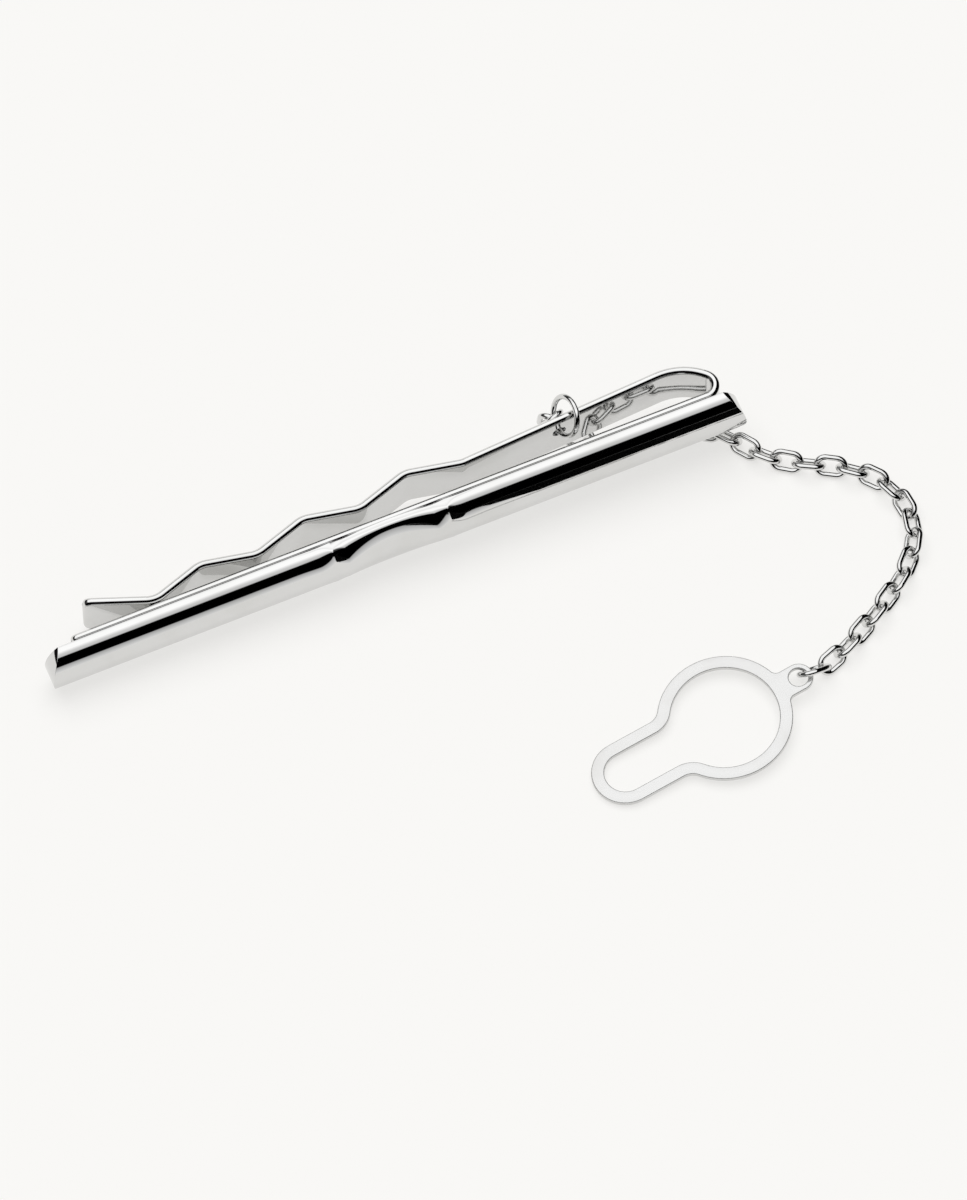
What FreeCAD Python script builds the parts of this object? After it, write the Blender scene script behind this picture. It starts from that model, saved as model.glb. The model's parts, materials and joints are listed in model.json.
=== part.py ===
"""Tie clip: a half-round bar, a bent spring strip, a cable chain and a keyhole loop for a shirt button.

Frame: the origin is the middle of the front leg's inner face, where the tie lies. X runs along the bar,
Y points away from its front and Z is up. The clip stands on its long edge on a table and its chain lies
under it, so the clip is tipped a little about Y and the table is a level plane below the origin.
"""
import math
import os

import FreeCAD
import Part
import Sketcher

doc = FreeCAD.newDocument("tie_clip")
sheet = doc.addObject("Spreadsheet::Sheet", "Sizes")

# Driving sizes in millimetres, angles in degrees
SIZES = {
    "bar_length": 65.0,
    "bar_width": 5.3,
    "bar_depth": 2.15,
    "bar_end_bulge": 1.3,
    "ridge_spacing": 10.8,
    "ridge_rise": 0.14,
    "ridge_fullness": 0.5,
    "flare_length": 2.4,
    "flare_clear": 0.03,
    "groove_inset": 1.2,
    "groove_drop": 0.18,
    "bead_rise": 0.3,
    "bead_shoulder_inset": 2.3,
    "bead_shoulder_rise": 0.2,
    "bead_fullness": 0.62,
    "bead_front_rise": 0.16,
    "strip_width": 5.0,
    "strip_thickness": 0.75,
    "strip_end_inset": 2.7,
    "strip_corner_radius": 0.6,
    "bend_tip_inset": 1.1,
    "bend_radius": 1.16,
    "bend_turn": 136.0,
    "shoulder_radius": 5.5,
    "leg_slope": 3.35,
    "first_trough": 7.88,
    "wave_pitch": 9.85,
    "wave_depth": 1.32,
    "wave_radius": 2.2,
    "tongue_length": 5.8,
    "tongue_flare": 2.65,
    "tongue_radius": 0.8,
    "ring_place": 17.0,
    "ring_hole_radius": 0.64,
    "ring_hole_rise": 0.77,
    "ring_radius": 1.75,
    "ring_wire": 0.5,
    "ring_lean": 28.0,
    "ring_hook_turn": 34.0,
    "link_length": 2.9,
    "link_width": 1.9,
    "link_wire": 0.42,
    "link_play": 0.12,
    "link_roll": 45.0,
    "second_link_reach": 0.67,
    "clip_tip": 1.7,
    "connector_length": 3.3,
    "connector_width": 2.5,
    "connector_wire": 0.5,
    "connector_roll": 55.0,
    "loop_radius": 5.91,
    "loop_band": 1.14,
    "loop_sheet": 0.5,
    "loop_tail_reach": 10.0,
    "loop_tail_radius": 3.0,
    "loop_neck_radius": 1.5,
    "ear_reach": 7.4,
    "ear_radius": 1.3,
    "ear_hole_radius": 0.86,
    "ear_neck_radius": 0.6,
    "ear_hang": 0.2,
    "overrun": 1.0,
}

for row, (alias, value) in enumerate(SIZES.items(), start=1):
    sheet.set(f"A{row}", alias)
    sheet.set(f"B{row}", str(value))
    sheet.setAlias(f"B{row}", alias)
doc.recompute()


def size(alias):
    """The number that the sheet holds under an alias."""
    return float(sheet.get(alias))


def bind(item, **formulas):
    """Bind properties of a document object to formulas of sheet aliases."""
    for name, formula in formulas.items():
        item.setExpression(name, formula)
    return item


def words(formula):
    """Write a formula of bare aliases with the sheet's name before each alias."""
    for alias in sorted(SIZES, key=len, reverse=True):
        formula = formula.replace(f"[{alias}]", f"Sizes.{alias}")
    return formula


def vec(x, y, z=0.0):
    """A point or direction."""
    return FreeCAD.Vector(x, y, z)


X_AXIS = vec(1, 0, 0)
Y_AXIS = vec(0, 1, 0)
Z_AXIS = vec(0, 0, 1)

# The clip is tipped about Y: its right end is raised
CLIP = FreeCAD.Placement(vec(0, 0, 0), FreeCAD.Rotation(Y_AXIS, -size("clip_tip")))


def along(heading, dip=0.0):
    """A unit direction from a heading in the level plane and a dip below it, in degrees."""
    turn = math.radians(heading)
    drop = math.radians(dip)
    return vec(math.cos(drop) * math.cos(turn), math.cos(drop) * math.sin(turn), -math.sin(drop))


def cylinder(name, radius, height, place):
    """A cylinder primitive bound to two formulas."""
    item = doc.addObject("Part::Cylinder", name)
    bind(item, Radius=words(radius), Height=words(height))
    item.Placement = place
    return item


def box(name, length, width, height, place):
    """A box primitive bound to three formulas."""
    item = doc.addObject("Part::Box", name)
    bind(item, Length=words(length), Width=words(width), Height=words(height))
    item.Placement = place
    return item


def fuse(name, items):
    """One solid from several that overlap or share a face."""
    item = doc.addObject("Part::MultiFuse", name)
    item.Shapes = items
    item.Refine = True
    return item


def cut(name, base, tool):
    """The base with the tool taken away."""
    item = doc.addObject("Part::Cut", name)
    item.Base = base
    item.Tool = tool
    return item


def upright_edges(shape, places, slack):
    """Numbers of the edges along Z that stand at one of the given places in the level plane."""
    found = []
    for number, edge in enumerate(shape.Edges, start=1):
        first, last = edge.Vertexes[0].Point, edge.Vertexes[-1].Point
        level = vec(first.x, first.y)
        if abs(first.z - last.z) < slack or (level - vec(last.x, last.y)).Length > slack:
            continue
        if any((level - place).Length < slack for place in places):
            found.append(number)
    return found


parts = []


def finish(item, label, place):
    """Name a finished sub-part, set its place and list it for export."""
    item.Label = label
    item.Placement = place
    parts.append(item)
    return item


# Bar: half-round sections lofted along X, rounded at both ends as seen from the front


def half_round(body, name, offset, widen, deepen):
    """A half-round sketch across X, its flat side on the bar's back plane."""
    plane = next(f for f in body.Origin.OriginFeatures if f.Role == "YZ_Plane")
    sketch = body.newObject("Sketcher::SketchObject", name)
    sketch.AttachmentSupport = [(plane, "")]
    sketch.MapMode = "FlatFace"
    sketch.setExpression("AttachmentOffset.Base.z", words(offset))
    half = size("bar_width") / 2
    depth = size("bar_depth")
    radius = (half * half + depth * depth) / (2 * depth)
    centre = vec(radius - depth, 0)
    swing = math.atan2(half, -centre.x)
    circle = Part.Circle(centre, Z_AXIS, radius)
    sketch.addGeometry(Part.LineSegment(vec(0, half), vec(0, -half)))
    sketch.addGeometry(Part.ArcOfCircle(circle, swing, 2 * math.pi - swing))
    start, end, line, arc, axes = 1, 2, 0, 1, -1
    sketch.addConstraint(Sketcher.Constraint("Coincident", line, start, arc, start))
    sketch.addConstraint(Sketcher.Constraint("Coincident", line, end, arc, end))
    sketch.addConstraint(Sketcher.Constraint("Symmetric", line, start, line, end, axes, 1))
    sketch.addConstraint(Sketcher.Constraint("Vertical", line))
    across = sketch.addConstraint(Sketcher.Constraint("Distance", line, start, line, end, 2 * half))
    round_ = sketch.addConstraint(Sketcher.Constraint("Radius", arc, radius))
    wide = f"([bar_width] / 2 + {widen})"
    deep = f"([bar_depth] + {deepen})"
    sketch.setExpression(f"Constraints[{across}]", words(f"2 * {wide}"))
    bow = f"({wide} * {wide} + {deep} * {deep}) / (2 * {deep})"
    sketch.setExpression(f"Constraints[{round_}]", words(bow))
    return sketch


def front_profile(low):
    """All that lies behind the bar's front as seen from above: flares, ridges, grooves and bead."""
    depth = size("bar_depth")
    far = size("bar_length") / 2 + size("overrun")
    ridge = size("ridge_spacing") / 2
    groove = ridge - size("groove_inset")
    plain = -depth - size("flare_clear")
    steps = [(far, plain), (ridge + size("flare_length"), plain)]
    steps += [(ridge, -depth - size("ridge_rise")), (groove, size("groove_drop") - depth)]
    right = [vec(x, y, low) for x, y in steps]
    left = [vec(-x, y, low) for x, y in steps[::-1]]
    apex = vec(0, -depth - size("bead_front_rise"), low)
    bead = Part.Arc(right[-1], apex, left[0]).toShape()
    behind = [left[-1], vec(-far, size("overrun"), low), vec(far, size("overrun"), low), right[0]]
    runs = [Part.makePolygon(run) for run in (right, left, behind)]
    edges = runs[0].Edges + [bead] + runs[1].Edges + runs[2].Edges
    return Part.Face(Part.Wire(edges)).extrude(vec(0, 0, -2 * low))


def make_bar():
    """The front bar with its ridges and bead."""
    body = doc.addObject("PartDesign::Body", "bar_sections")
    half_gap = "[ridge_spacing] / 2"
    none = "0 * [ridge_rise]"
    stations = [
        ("[bar_length] / 2", none, none),
        (f"{half_gap} + [flare_length]", none, none),
        (half_gap, none, "[ridge_fullness]"),
        (f"{half_gap} - [groove_inset]", none, "[ridge_fullness]"),
        (f"{half_gap} - [bead_shoulder_inset]", "[bead_shoulder_rise]", "[bead_fullness]"),
    ]
    left = [(f"0 - ({place})", widen, deepen) for place, widen, deepen in stations]
    middle = [("0 * [bar_length]", "[bead_rise]", "[bead_fullness]")]
    sketches = [
        half_round(body, f"bar_section_{count}", *station)
        for count, station in enumerate(left + middle + stations[::-1])
    ]
    doc.recompute()
    loft = body.newObject("PartDesign::AdditiveLoft", "bar_loft")
    loft.Profile = sketches[0]
    loft.Sections = sketches[1:]
    loft.Ruled = True
    doc.recompute()
    half = size("bar_length") / 2
    bulge = size("bar_end_bulge")
    chord = size("bar_width") / 2
    end_radius = (chord * chord + bulge * bulge) / (2 * bulge)
    over = size("overrun")
    reach = size("bar_depth") + size("bead_fullness") + over
    low = -chord - size("bead_rise") - over
    radius = "(([bar_width] / 2) ^ 2 + [bar_end_bulge] ^ 2) / (2 * [bar_end_bulge])"
    deep = "[bar_depth] + [bead_fullness] + 2 * [overrun]"
    across_y = FreeCAD.Rotation(X_AXIS, 90)
    ends = []
    for count, side in enumerate((-1, 1)):
        place = FreeCAD.Placement(vec(side * (half - end_radius), over, 0), across_y)
        ends.append(cylinder(f"bar_end_{count}", radius, deep, place))
    tall = "[bar_width] + 2 * [bead_rise] + 2 * [overrun]"
    corner = FreeCAD.Placement(vec(bulge - half, -reach, low), FreeCAD.Rotation())
    middle = box("bar_middle", "[bar_length] - 2 * [bar_end_bulge]", deep, tall, corner)
    outline = fuse("bar_outline", [middle] + ends)
    front = doc.addObject("Part::Feature", "bar_front")
    front.Shape = front_profile(low)
    bar = doc.addObject("Part::MultiCommon", "bar_solid")
    bar.Shapes = [body, outline, front]
    back = FreeCAD.Placement(vec(0, -size("strip_thickness"), 0), FreeCAD.Rotation())
    return finish(bar, "bar", CLIP * back)


make_bar()


# Spring strip: a front leg against the bar's back, a bend at the right end and a wavy rear leg


THICK = size("strip_thickness")
WIDE = size("strip_width")
BEND_CENTRE = vec(
    size("bar_length") / 2 - size("bend_tip_inset") - size("bend_radius") - THICK / 2,
    size("bend_radius") - THICK / 2,
)
TURNED = size("bend_turn")
LEG_HEADING = 180 + size("leg_slope")
BEND_END = BEND_CENTRE + along(TURNED - 90) * size("bend_radius")
SHOULDER_CENTRE = BEND_END + along(TURNED + 90) * size("shoulder_radius")
LEG_START = SHOULDER_CENTRE + along(LEG_HEADING - 90) * size("shoulder_radius")
LEG_AXIS = along(LEG_HEADING)
LEG_OUT = along(LEG_HEADING - 90)


def swept_strip(path):
    """The strip's upright rectangle swept along a level path."""
    start = path.OrderedVertexes[0].Point
    heading = path.OrderedEdges[0].tangentAt(path.OrderedEdges[0].FirstParameter)
    side = heading.cross(Z_AXIS) * (THICK / 2)
    rise = Z_AXIS * (WIDE / 2)
    corners = [start + side + rise, start - side + rise, start - side - rise, start + side - rise]
    section = Part.makePolygon(corners + corners[:1])
    return path.makePipeShell([section], True, False)


def rounded_path(points, radius):
    """A wire through the points with an arc of one radius at each inner point."""
    edges = []
    last = points[0]
    for before, corner, after in zip(points, points[1:], points[2:]):
        back = (before - corner).normalize()
        ahead = (after - corner).normalize()
        half = back.getAngle(ahead) / 2
        trim = radius / math.tan(half)
        middle = (back + ahead).normalize()
        crown = corner + middle * (radius / math.sin(half) - radius)
        edges.append(Part.LineSegment(last, corner + back * trim).toShape())
        edges.append(Part.Arc(corner + back * trim, crown, corner + ahead * trim).toShape())
        last = corner + ahead * trim
    edges.append(Part.LineSegment(last, points[-1]).toShape())
    return Part.Wire(edges)


def make_front_leg():
    """The straight leg along the bar's back, with rounded corners at its free end."""
    body = doc.addObject("PartDesign::Body", "front_leg_body")
    plane = next(f for f in body.Origin.OriginFeatures if f.Role == "XZ_Plane")
    sketch = body.newObject("Sketcher::SketchObject", "front_leg_outline")
    sketch.AttachmentSupport = [(plane, "")]
    sketch.MapMode = "FlatFace"
    left = size("strip_end_inset") - size("bar_length") / 2
    right = BEND_CENTRE.x
    high = WIDE / 2
    corners = [vec(left, -high), vec(right, -high), vec(right, high), vec(left, high)]
    for begin, end in zip(corners, corners[1:] + corners[:1]):
        sketch.addGeometry(Part.LineSegment(begin, end))
    for edge in range(4):
        sketch.addConstraint(Sketcher.Constraint("Coincident", edge, 2, (edge + 1) % 4, 1))
    for edge, kind in ((0, "Horizontal"), (2, "Horizontal"), (3, "Vertical")):
        sketch.addConstraint(Sketcher.Constraint(kind, edge))
    long_ = sketch.addConstraint(Sketcher.Constraint("DistanceX", 0, 1, 0, 2, right - left))
    tall = sketch.addConstraint(Sketcher.Constraint("DistanceY", 1, 1, 1, 2, WIDE))
    reach = sketch.addConstraint(Sketcher.Constraint("DistanceX", -1, 1, 0, 2, right))
    sketch.addConstraint(Sketcher.Constraint("Symmetric", 1, 1, 1, 2, -1))
    tip = "[bar_length] / 2 - [bend_tip_inset] - [bend_radius] - [strip_thickness] / 2"
    sketch.setExpression(f"Constraints[{long_}]", words(f"{tip} + [bar_length] / 2 - [strip_end_inset]"))
    sketch.setExpression(f"Constraints[{tall}]", words("[strip_width]"))
    sketch.setExpression(f"Constraints[{reach}]", words(tip))
    doc.recompute()
    pad = body.newObject("PartDesign::Pad", "front_leg_pad")
    pad.Profile = sketch
    bind(pad, Length=words("[strip_thickness]"))
    doc.recompute()
    ends = [
        f"Edge{number}"
        for number, edge in enumerate(pad.Shape.Edges, start=1)
        if all(abs(point.X - left) < THICK / 2 for point in edge.Vertexes) and edge.Length < WIDE / 2
    ]
    fillet = body.newObject("PartDesign::Fillet", "front_leg_corners")
    fillet.Base = (pad, ends)
    bind(fillet, Radius=words("[strip_corner_radius]"))
    return finish(body, "front_leg", CLIP)


def make_spring_bend():
    """The U at the right end: a tight arc, then a wide one into the rear leg."""
    low = BEND_CENTRE + along(-90) * size("bend_radius")
    tip = BEND_CENTRE + along(TURNED / 2 - 90) * size("bend_radius")
    halfway = SHOULDER_CENTRE + along((TURNED + LEG_HEADING) / 2 - 90) * size("shoulder_radius")
    path = Part.Wire([
        Part.Arc(low, tip, BEND_END).toShape(),
        Part.Arc(BEND_END, halfway, LEG_START).toShape(),
    ])
    item = doc.addObject("Part::Feature", "spring_bend_solid")
    item.Shape = swept_strip(path)
    return finish(item, "spring_bend", CLIP)


def leg_point(run, height=0.0):
    """A point of the rear leg: a run from its start and a height out from its straight line."""
    return LEG_START + LEG_AXIS * run + LEG_OUT * height


def leg_run(place):
    """The run along the rear leg at which its straight line has the given X."""
    return (place - LEG_START.x) / LEG_AXIS.x


RING_SEAT = leg_point(leg_run(size("ring_place"))) + Z_AXIS * size("ring_hole_rise")
WAVES = 3


def make_rear_leg():
    """The sprung leg: straight, then waves, then a tongue that flares out; with the ring's hole."""
    first = leg_run(size("first_trough"))
    pitch = size("wave_pitch")
    points = [leg_point(0.0), leg_point(first)]
    for count in range(WAVES):
        points.append(leg_point(first + (count + 0.5) * pitch, size("wave_depth")))
        points.append(leg_point(first + (count + 1) * pitch))
    last = first + WAVES * pitch
    points.append(leg_point(last + size("tongue_length"), size("tongue_flare")))
    blank = swept_strip(rounded_path(points, size("wave_radius")))
    tongue = [
        edge
        for edge in blank.Edges
        if abs(edge.Length - THICK) < THICK / 4
        and all((vec(v.X, v.Y) - points[-1]).Length < THICK for v in edge.Vertexes)
    ]
    blank = blank.makeFillet(size("tongue_radius"), tongue)
    start = RING_SEAT - LEG_OUT * (THICK / 2 + size("overrun"))
    hole = Part.makeCylinder(size("ring_hole_radius"), THICK + 2 * size("overrun"), start, LEG_OUT)
    item = doc.addObject("Part::Feature", "rear_leg_solid")
    item.Shape = blank.cut(hole)
    return finish(item, "rear_leg", CLIP)


make_front_leg()
make_spring_bend()
make_rear_leg()


# Jump ring: through the rear leg's hole and over the leg's upper edge


def in_table(point):
    """A point of the clip as it lies on the table."""
    return CLIP.multVec(point)


RING_LEAN = math.radians(size("ring_lean"))
RING_AWAY = Z_AXIS * math.cos(RING_LEAN) - LEG_AXIS * math.sin(RING_LEAN)
RING_CENTRE = RING_SEAT + RING_AWAY * size("ring_radius")


def make_jump_ring():
    """The round ring that carries the chain."""
    ring = doc.addObject("Part::Torus", "jump_ring_wire")
    bind(ring, Radius1=words("[ring_radius]"), Radius2=words("[ring_wire] / 2"))
    turn = FreeCAD.Rotation(Z_AXIS, RING_AWAY.cross(LEG_OUT))
    return finish(ring, "jump_ring", CLIP * FreeCAD.Placement(RING_CENTRE, turn))


make_jump_ring()

# Chain: oval links from the jump ring to the table, under the clip and round to the loop


TABLE = in_table(vec(size("bar_end_bulge") - size("bar_length") / 2, 0, -size("bar_width") / 2)).z
PITCH = size("link_length") - 2 * size("link_wire") - size("link_play")
LINK_SIDE = (size("link_width") - size("link_wire")) / 2
LIFT = LINK_SIDE * math.sin(math.radians(size("link_roll"))) + size("link_wire") / 2
FIRST_TURN = (98, 66)
SECOND_TURN = (101, 81)
THIRD_HEADING = -32
HANGING_ROLLS = [-11, 51, -22]
TABLE_HEADINGS = [
    -40, -48, -21, -1, 5, -11, -33, -51, -54, -45, -34, -28, -30,
    -38, -50, -67, -84, -102, -119, -132, -141, -146, -148, -150, -153, -158,
]
CONNECTOR_HEADING = -173
LOOP_HEADING = -172


def facing(direction, roll):
    """A rotation that lays X along a direction and rolls the piece about it, in degrees."""
    level = Z_AXIS.cross(direction).normalize()
    upright = FreeCAD.Rotation(direction, level, direction.cross(level), "XYZ")
    return upright * FreeCAD.Rotation(X_AXIS, roll)


def oval_ring(name, length, width, wire):
    """A closed oval of round wire in the level plane, long along X: two half rings and two rods."""
    half = size(length) / 2 - size(width) / 2
    bend = size(width) / 2 - size(wire) / 2
    pieces = []
    for side in (-1, 1):
        turn = FreeCAD.Rotation(Z_AXIS, -90 * side)
        half_ring = doc.addObject("Part::Torus", f"{name}_end_{side + 1}")
        half_ring.Angle3 = 180
        bind(half_ring, Radius1=words(f"([{width}] - [{wire}]) / 2"), Radius2=words(f"[{wire}] / 2"))
        half_ring.Placement = FreeCAD.Placement(vec(side * half, 0, 0), turn)
        place = FreeCAD.Placement(vec(-half, side * bend, 0), FreeCAD.Rotation(Y_AXIS, 90))
        rod = cylinder(f"{name}_side_{side + 1}", f"[{wire}] / 2", f"[{length}] - [{width}]", place)
        pieces += [half_ring, rod]
    return fuse(f"{name}_wire", pieces)


def chain_route():
    """Each link's joint, middle and direction, from the jump ring to the connecting ring."""
    wire = size("link_wire")
    play = size("link_play")
    half = (size("link_length") - wire) / 2
    reach = size("second_link_reach")
    hook = math.radians(size("ring_hook_turn"))
    on_ring = RING_CENTRE + (LEG_OUT * math.sin(hook) - RING_AWAY * math.cos(hook)) * size("ring_radius")
    first = along(*FIRST_TURN)
    second = along(*SECOND_TURN)
    joint = in_table(on_ring)
    middle = joint + first * (half - (size("ring_wire") + wire) / 2 - play)
    route = [(joint, middle, first)]
    joint = middle + first * half
    middle = joint + second * reach
    route.append((joint, middle, second))
    joint = middle + second * reach
    landing = (joint.z - TABLE - LIFT) / (2 * half - (wire + play) / 2)
    third = along(THIRD_HEADING, math.degrees(math.asin(landing)))
    middle = joint + third * half
    route.append((joint, middle, third))
    joint = middle + third * (half - (wire + play) / 2)
    for heading in TABLE_HEADINGS:
        direction = along(heading)
        route.append((joint, joint + direction * (PITCH / 2), direction))
        joint = joint + direction * PITCH
    return route, joint


ROUTE, CHAIN_END = chain_route()


def make_chain():
    """The links, each turned a quarter against the one before."""
    for count, (joint, middle, direction) in enumerate(ROUTE, start=1):
        label = f"chain_link_{count:02d}"
        link = oval_ring(f"link_{count:02d}", "link_length", "link_width", "link_wire")
        roll = size("link_roll") * (-1) ** count
        if count <= len(HANGING_ROLLS):
            roll = HANGING_ROLLS[count - 1]
        finish(link, label, FreeCAD.Placement(middle, facing(direction, roll)))


make_chain()

# Connecting ring: a larger oval from the last link up into the loop's ear


CONNECTOR_REACH = (size("connector_length") - 2 * size("connector_wire") - size("link_play")) / 2
CONNECTOR_LIFT = (
    (size("connector_width") - size("connector_wire")) / 2 * math.sin(math.radians(size("connector_roll")))
    + size("connector_wire") / 2
)
CONNECTOR_RISE = math.degrees(math.asin((CONNECTOR_LIFT - LIFT) / CONNECTOR_REACH))
CONNECTOR_AXIS = along(CONNECTOR_HEADING, -CONNECTOR_RISE)
CONNECTOR_WIRE_REACH = 2 * CONNECTOR_REACH + (size("connector_wire") + size("link_play")) / 2
CONNECTOR_END = CHAIN_END + CONNECTOR_AXIS * CONNECTOR_WIRE_REACH


def make_connecting_ring():
    """The ring between the chain and the loop."""
    ring = oval_ring("connector", "connector_length", "connector_width", "connector_wire")
    roll = size("connector_roll") * (-1) ** (len(ROUTE) + 1)
    place = FreeCAD.Placement(CHAIN_END + CONNECTOR_AXIS * CONNECTOR_REACH, facing(CONNECTOR_AXIS, roll))
    return finish(ring, "connecting_ring", place)


make_connecting_ring()

# Button loop: a flat keyhole ring with an ear, its tail down on the table


def make_button_loop():
    """The stamped loop, drawn with its round part at the origin and its ear along +X."""
    flat = FreeCAD.Rotation()
    band = size("loop_band")
    tail = size("loop_tail_radius")
    reach = size("loop_tail_reach")
    at_tail = FreeCAD.Placement(vec(-reach, 0, 0), flat)
    ear = size("ear_radius")
    at_ear = FreeCAD.Placement(vec(size("ear_reach"), 0, 0), flat)
    over = size("overrun")
    below = FreeCAD.Placement(vec(0, 0, -over), flat)
    sheet_deep = "[loop_sheet]"
    cut_deep = "[loop_sheet] + 2 * [overrun]"
    blank = fuse("loop_blank", [
        cylinder("loop_round", "[loop_radius]", sheet_deep, FreeCAD.Placement()),
        cylinder("loop_tail_end", "[loop_tail_radius]", sheet_deep, at_tail),
        cylinder("loop_ear", "[ear_radius]", sheet_deep, at_ear),
        box("loop_tail", "[loop_tail_reach]", "2 * [loop_tail_radius]", sheet_deep,
            FreeCAD.Placement(vec(-reach, -tail, 0), flat)),
        box("loop_ear_web", "[ear_reach]", "2 * [ear_radius]", sheet_deep,
            FreeCAD.Placement(vec(0, -ear, 0), flat)),
    ])
    inside = fuse("loop_inside", [
        cylinder("loop_round_hole", "[loop_radius] - [loop_band]", cut_deep, below),
        cylinder("loop_tail_hole", "[loop_tail_radius] - [loop_band]", cut_deep, below * at_tail),
        box("loop_tail_slot", "[loop_tail_reach]", "2 * ([loop_tail_radius] - [loop_band])", cut_deep,
            below * FreeCAD.Placement(vec(-reach, band - tail, 0), flat)),
    ])
    ring = cut("loop_ring", blank, inside)
    eyed = cut("loop_eyed", ring, cylinder("loop_ear_hole", "[ear_hole_radius]", cut_deep, below * at_ear))
    doc.recompute()
    outer = size("loop_radius")
    inner = outer - band
    slot = tail - band
    neck = size("loop_neck_radius")
    corners = [
        (-math.sqrt(outer ** 2 - tail ** 2), tail, neck),
        (-math.sqrt(inner ** 2 - slot ** 2), slot, neck + band),
        (math.sqrt(outer ** 2 - ear ** 2), ear, size("ear_neck_radius")),
    ]
    loop = doc.addObject("Part::Fillet", "loop_necks")
    loop.Base = eyed
    loop.Edges = [
        (number, radius, radius)
        for x, y, radius in corners
        for number in upright_edges(eyed.Shape, [vec(x, -y), vec(x, y)], size("loop_sheet") / 4)
    ]
    rim = (ear + size("ear_hole_radius")) / 2
    on_rim = CONNECTOR_END - CONNECTOR_AXIS * (rim - size("ear_hang"))
    long_ = rim + size("ear_reach") + reach + tail
    drop = math.degrees(math.asin((on_rim.z - TABLE - size("loop_sheet") / 2) / long_))
    axis = along(LOOP_HEADING, drop)
    turn = facing(axis * -1, 0)
    centre = FreeCAD.Placement(vec(-size("ear_reach"), 0, -size("loop_sheet") / 2), flat)
    return finish(loop, "button_loop", FreeCAD.Placement(on_rim + axis * rim, turn) * centre)


make_button_loop()

# Check every object, then write one file for each sub-part


doc.recompute()
for item in doc.Objects:
    if "Invalid" in item.State or "Error" in item.State:
        raise RuntimeError(f"{item.Name} failed: {item.State}")
for item in parts:
    if item.Shape.isNull() or not item.Shape.isValid():
        raise RuntimeError(f"{item.Label} has no valid shape")
os.makedirs("parts", exist_ok=True)
for item in parts:
    item.Shape.exportStep(f"parts/{item.Label}.step")
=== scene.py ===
"""Looks of a polished tie clip: a half-round bar, a bent spring strip, a cable chain and a button loop.

Every piece lies in the frame of the solids, in metres. The clip stands on its long edge on a pale table,
tipped a little because its chain runs under it.
"""

import json
import logging
import math
from dataclasses import dataclass, field
from enum import Enum
from typing import Iterable

import bmesh
import bpy
from mathutils import Matrix, Vector


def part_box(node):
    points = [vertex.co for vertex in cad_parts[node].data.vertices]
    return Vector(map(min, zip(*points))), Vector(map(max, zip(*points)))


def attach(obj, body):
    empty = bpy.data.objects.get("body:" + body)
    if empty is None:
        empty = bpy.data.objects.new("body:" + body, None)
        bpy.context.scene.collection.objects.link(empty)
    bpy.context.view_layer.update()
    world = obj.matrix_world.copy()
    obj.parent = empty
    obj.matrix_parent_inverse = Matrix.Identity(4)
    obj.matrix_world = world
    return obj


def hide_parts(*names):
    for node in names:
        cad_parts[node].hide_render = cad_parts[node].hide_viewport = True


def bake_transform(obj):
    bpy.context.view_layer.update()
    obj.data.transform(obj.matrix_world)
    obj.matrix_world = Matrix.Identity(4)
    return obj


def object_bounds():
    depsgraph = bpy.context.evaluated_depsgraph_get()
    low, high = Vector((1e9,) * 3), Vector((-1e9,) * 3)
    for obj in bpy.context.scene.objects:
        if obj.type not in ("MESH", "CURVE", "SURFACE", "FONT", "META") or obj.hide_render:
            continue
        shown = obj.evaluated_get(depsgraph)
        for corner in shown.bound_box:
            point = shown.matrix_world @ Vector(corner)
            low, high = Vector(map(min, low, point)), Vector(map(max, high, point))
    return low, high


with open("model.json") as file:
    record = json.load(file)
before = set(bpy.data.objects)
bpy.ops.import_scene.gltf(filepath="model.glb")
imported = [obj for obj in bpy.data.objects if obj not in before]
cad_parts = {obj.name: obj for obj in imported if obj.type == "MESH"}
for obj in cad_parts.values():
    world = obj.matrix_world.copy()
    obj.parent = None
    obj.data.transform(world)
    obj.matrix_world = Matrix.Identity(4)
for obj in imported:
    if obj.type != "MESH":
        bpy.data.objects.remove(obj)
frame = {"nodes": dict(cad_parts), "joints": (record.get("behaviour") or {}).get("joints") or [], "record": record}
CAD_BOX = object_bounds()

MM = 0.001
CLIP_TIP = math.radians(1.7)
CLIP = Matrix.Rotation(-CLIP_TIP, 4, "Y")
UP = Vector((0, 0, 1))
LEG_SLOPE = 3.35
ARC_TURNS = (42.0, 58.0)
NORMAL_WEIGHT = 90
# The strip's rounded edges: facets, fullness of the rounding, and a row of faces that guards the flat side
EDGE_STEPS = 8
EDGE_POWER = 1.25
EDGE_GUARD = 0.1
# The widest gap that is closed in a mesh, in millimetres
FINE_GAP = 0.0001
BAR_GAP = 0.0005
WIRE_GAP = 0.001
# How near the bar's edge, as a share of half its width, the front meets the flat back
RIM_SHARE = 0.00001
LOG = logging.getLogger("tie_clip")


class Slot(Enum):
    """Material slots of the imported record."""

    POLISHED = "polished_silver"
    SATIN = "satin_silver"


class Body(Enum):
    """Rigid bodies that the strip and the bar ride on."""

    FRONT = "clip_front"
    REAR = "rear_leg"


class Lean(Enum):
    """The side to which a link leans about its own length, in degrees."""

    LEFT = -45.0
    RIGHT = 45.0


# Shader helpers


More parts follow.
